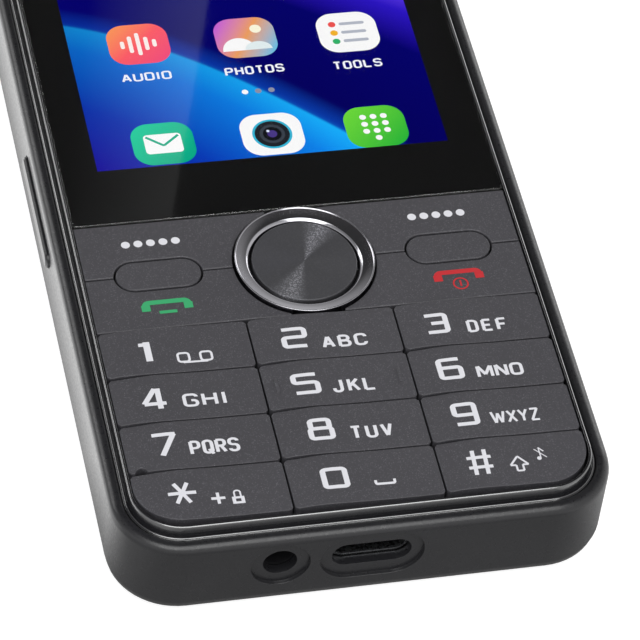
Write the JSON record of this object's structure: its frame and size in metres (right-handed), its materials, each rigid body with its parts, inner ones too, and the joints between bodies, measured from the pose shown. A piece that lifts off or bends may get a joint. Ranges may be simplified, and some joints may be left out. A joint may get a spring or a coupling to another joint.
{
  "type": "keypad mobile phone",
  "caption": "Bar-shaped mobile phone with a colour display, a round navigation key, a sculpted number keypad, a removable back and sockets in its lower end.",
  "frame": {"origin": "middle of the body's back face, on the surface that the phone lies on", "axes": "+X to the phone's right, +Y to the display end, +Z out of the keypad and display face"},
  "size_m": [0.0583, 0.128, 0.0128],
  "materials": {
    "shell_plastic": "satin dark grey moulding",
    "bezel_plastic": "smooth dark grey moulding",
    "key_plastic": "charcoal paint with fine metal flake, white legends",
    "ring_metal": "dark spun metal",
    "cover_glass": "clear glass with a black printed border",
    "display": "liquid crystal panel in a metal tray",
    "tape": "black double-sided tape",
    "silicone": "dark silicone",
    "washer_plastic": "black low-friction plastic",
    "dome_film": "clear film over steel domes",
    "board": "green solder mask",
    "steel": "pressed steel",
    "gold_contact": "gold-plated contacts",
    "chassis_plastic": "black moulding",
    "component_black": "black component moulding",
    "copper_flex": "amber flexible circuit",
    "battery_can": "aluminium can in a plain dark sleeve",
    "mesh": "black woven mesh",
    "clear_window": "clear cover disc",
    "light_guide": "clear acrylic rod",
    "led": "yellow phosphor"
  },
  "bodies": {
    "phone": {"front_frame": "bezel_plastic", "touch_glass": "cover_glass", "glass_adhesive": "tape", "display_module": "display", "display_flex": "copper_flex", "earpiece_receiver": "component_black", "earpiece_mesh": "mesh", "keypad_mat": "silicone", "keypad_dome_sheet": "dome_film", "main_board": "board", "shield_cans": "steel", "headphone_jack": "component_black", "jack_contacts": "gold_contact", "usb_socket": "steel", "usb_tongue": "component_black", "sim_sockets": "steel", "memory_card_socket": "steel", "microphone": "steel", "flash_led": "led", "flash_guide": "light_guide", "volume_switches": "component_black", "chassis": "chassis_plastic", "chassis_screws": "steel", "battery_contacts": "gold_contact", "rear_camera": "component_black", "loudspeaker": "component_black", "vibration_motor": "steel", "antenna_flex": "copper_flex"},
    "rear_cover": {"rear_cover": "shell_plastic", "camera_window": "clear_window", "speaker_mesh": "mesh"},
    "battery": {"battery": "battery_can", "battery_terminals": "gold_contact"},
    "volume_key": {"volume_key": "shell_plastic"},
    "nav_rocker": {"nav_rocker": "washer_plastic"},
    "nav_ring": {"nav_ring": "ring_metal"},
    "ok_key": {"ok_key": "key_plastic"},
    "vibration_weight": {"vibration_weight": "steel"},
    "key_1": {"key_1": "key_plastic"},
    "key_2": {"key_2": "key_plastic"},
    "key_3": {"key_3": "key_plastic"},
    "key_4": {"key_4": "key_plastic"},
    "key_5": {"key_5": "key_plastic"},
    "key_6": {"key_6": "key_plastic"},
    "key_7": {"key_7": "key_plastic"},
    "key_8": {"key_8": "key_plastic"},
    "key_9": {"key_9": "key_plastic"},
    "key_star": {"key_star": "key_plastic"},
    "key_0": {"key_0": "key_plastic"},
    "key_hash": {"key_hash": "key_plastic"},
    "soft_left_key": {"soft_left_key": "key_plastic"},
    "soft_right_key": {"soft_right_key": "key_plastic"},
    "call_key": {"call_key": "key_plastic"},
    "end_key": {"end_key": "key_plastic"},
    "shortcut_left_key": {"shortcut_left_key": "key_plastic"},
    "shortcut_right_key": {"shortcut_right_key": "key_plastic"}
  },
  "joints": [
    {"name": "cover_release", "type": "slide", "parent": "phone", "child": "rear_cover", "axis": [0, 0, -1], "range_m": [0, 0.03]},
    {"name": "battery_release", "type": "slide", "parent": "phone", "child": "battery", "axis": [0, 0, -1], "range_m": [0, 0.015]},
    {"name": "volume_rock", "type": "hinge", "parent": "rear_cover", "child": "volume_key", "pos_m": [-0.02685, -0.0077, 0.00744], "axis": [0, 0, 1], "range_deg": [-1, 1], "stiffness_Nm_per_rad": 0.5},
    {"name": "nav_tip_up_down", "type": "hinge", "parent": "phone", "child": "nav_rocker", "pos_m": [0, -0.02393, 0.0113], "axis": [1, 0, 0], "range_deg": [-1.6, 1.6], "stiffness_Nm_per_rad": 0.4},
    {"name": "nav_tip_left_right", "type": "hinge", "parent": "nav_rocker", "child": "nav_ring", "pos_m": [0, -0.02393, 0.0113], "axis": [0, 1, 0], "range_deg": [-1.6, 1.6], "stiffness_Nm_per_rad": 0.4},
    {"name": "vibration_spin", "type": "hinge", "parent": "phone", "child": "vibration_weight", "pos_m": [0.02, -0.0535, 0.0038], "axis": [1, 0, 0], "continuous": true},
    {"name": "key_1_press", "type": "slide", "parent": "phone", "child": "key_1", "axis": [0, 0, -1], "range_m": [0, 0.00028], "stiffness_N_per_m": 1500, "springref_m": -0.0003},
    {"name": "key_2_press", "type": "slide", "parent": "phone", "child": "key_2", "axis": [0, 0, -1], "range_m": [0, 0.00028], "stiffness_N_per_m": 1500, "springref_m": -0.0003},
    {"name": "key_3_press", "type": "slide", "parent": "phone", "child": "key_3", "axis": [0, 0, -1], "range_m": [0, 0.00028], "stiffness_N_per_m": 1500, "springref_m": -0.0003},
    {"name": "key_4_press", "type": "slide", "parent": "phone", "child": "key_4", "axis": [0, 0, -1], "range_m": [0, 0.00028], "stiffness_N_per_m": 1500, "springref_m": -0.0003},
    {"name": "key_5_press", "type": "slide", "parent": "phone", "child": "key_5", "axis": [0, 0, -1], "range_m": [0, 0.00028], "stiffness_N_per_m": 1500, "springref_m": -0.0003},
    {"name": "key_6_press", "type": "slide", "parent": "phone", "child": "key_6", "axis": [0, 0, -1], "range_m": [0, 0.00028], "stiffness_N_per_m": 1500, "springref_m": -0.0003},
    {"name": "key_7_press", "type": "slide", "parent": "phone", "child": "key_7", "axis": [0, 0, -1], "range_m": [0, 0.00028], "stiffness_N_per_m": 1500, "springref_m": -0.0003},
    {"name": "key_8_press", "type": "slide", "parent": "phone", "child": "key_8", "axis": [0, 0, -1], "range_m": [0, 0.00028], "stiffness_N_per_m": 1500, "springref_m": -0.0003},
    {"name": "key_9_press", "type": "slide", "parent": "phone", "child": "key_9", "axis": [0, 0, -1], "range_m": [0, 0.00028], "stiffness_N_per_m": 1500, "springref_m": -0.0003},
    {"name": "key_star_press", "type": "slide", "parent": "phone", "child": "key_star", "axis": [0, 0, -1], "range_m": [0, 0.00028], "stiffness_N_per_m": 1500, "springref_m": -0.0003},
    {"name": "key_0_press", "type": "slide", "parent": "phone", "child": "key_0", "axis": [0, 0, -1], "range_m": [0, 0.00028], "stiffness_N_per_m": 1500, "springref_m": -0.0003},
    {"name": "key_hash_press", "type": "slide", "parent": "phone", "child": "key_hash", "axis": [0, 0, -1], "range_m": [0, 0.00028], "stiffness_N_per_m": 1500, "springref_m": -0.0003},
    {"name": "soft_left_key_press", "type": "slide", "parent": "phone", "child": "soft_left_key", "axis": [0, 0, -1], "range_m": [0, 0.00028], "stiffness_N_per_m": 1500, "springref_m": -0.0003},
    {"name": "soft_right_key_press", "type": "slide", "parent": "phone", "child": "soft_right_key", "axis": [0, 0, -1], "range_m": [0, 0.00028], "stiffness_N_per_m": 1500, "springref_m": -0.0003},
    {"name": "call_key_press", "type": "slide", "parent": "phone", "child": "call_key", "axis": [0, 0, -1], "range_m": [0, 0.00028], "stiffness_N_per_m": 1500, "springref_m": -0.0003},
    {"name": "end_key_press", "type": "slide", "parent": "phone", "child": "end_key", "axis": [0, 0, -1], "range_m": [0, 0.00028], "stiffness_N_per_m": 1500, "springref_m": -0.0003},
    {"name": "shortcut_left_key_press", "type": "slide", "parent": "phone", "child": "shortcut_left_key", "axis": [0, 0, -1], "range_m": [0, 0.00028], "stiffness_N_per_m": 1500, "springref_m": -0.0003},
    {"name": "shortcut_right_key_press", "type": "slide", "parent": "phone", "child": "shortcut_right_key", "axis": [0, 0, -1], "range_m": [0, 0.00028], "stiffness_N_per_m": 1500, "springref_m": -0.0003},
    {"name": "ok_key_press", "type": "slide", "parent": "phone", "child": "ok_key", "axis": [0, 0, -1], "range_m": [0, 0.00028], "stiffness_N_per_m": 1500, "springref_m": -0.0003}
  ],
  "couplings": [
    {"joint": "battery_release", "follows": "cover_release", "ratio": 0.5}
  ]
}
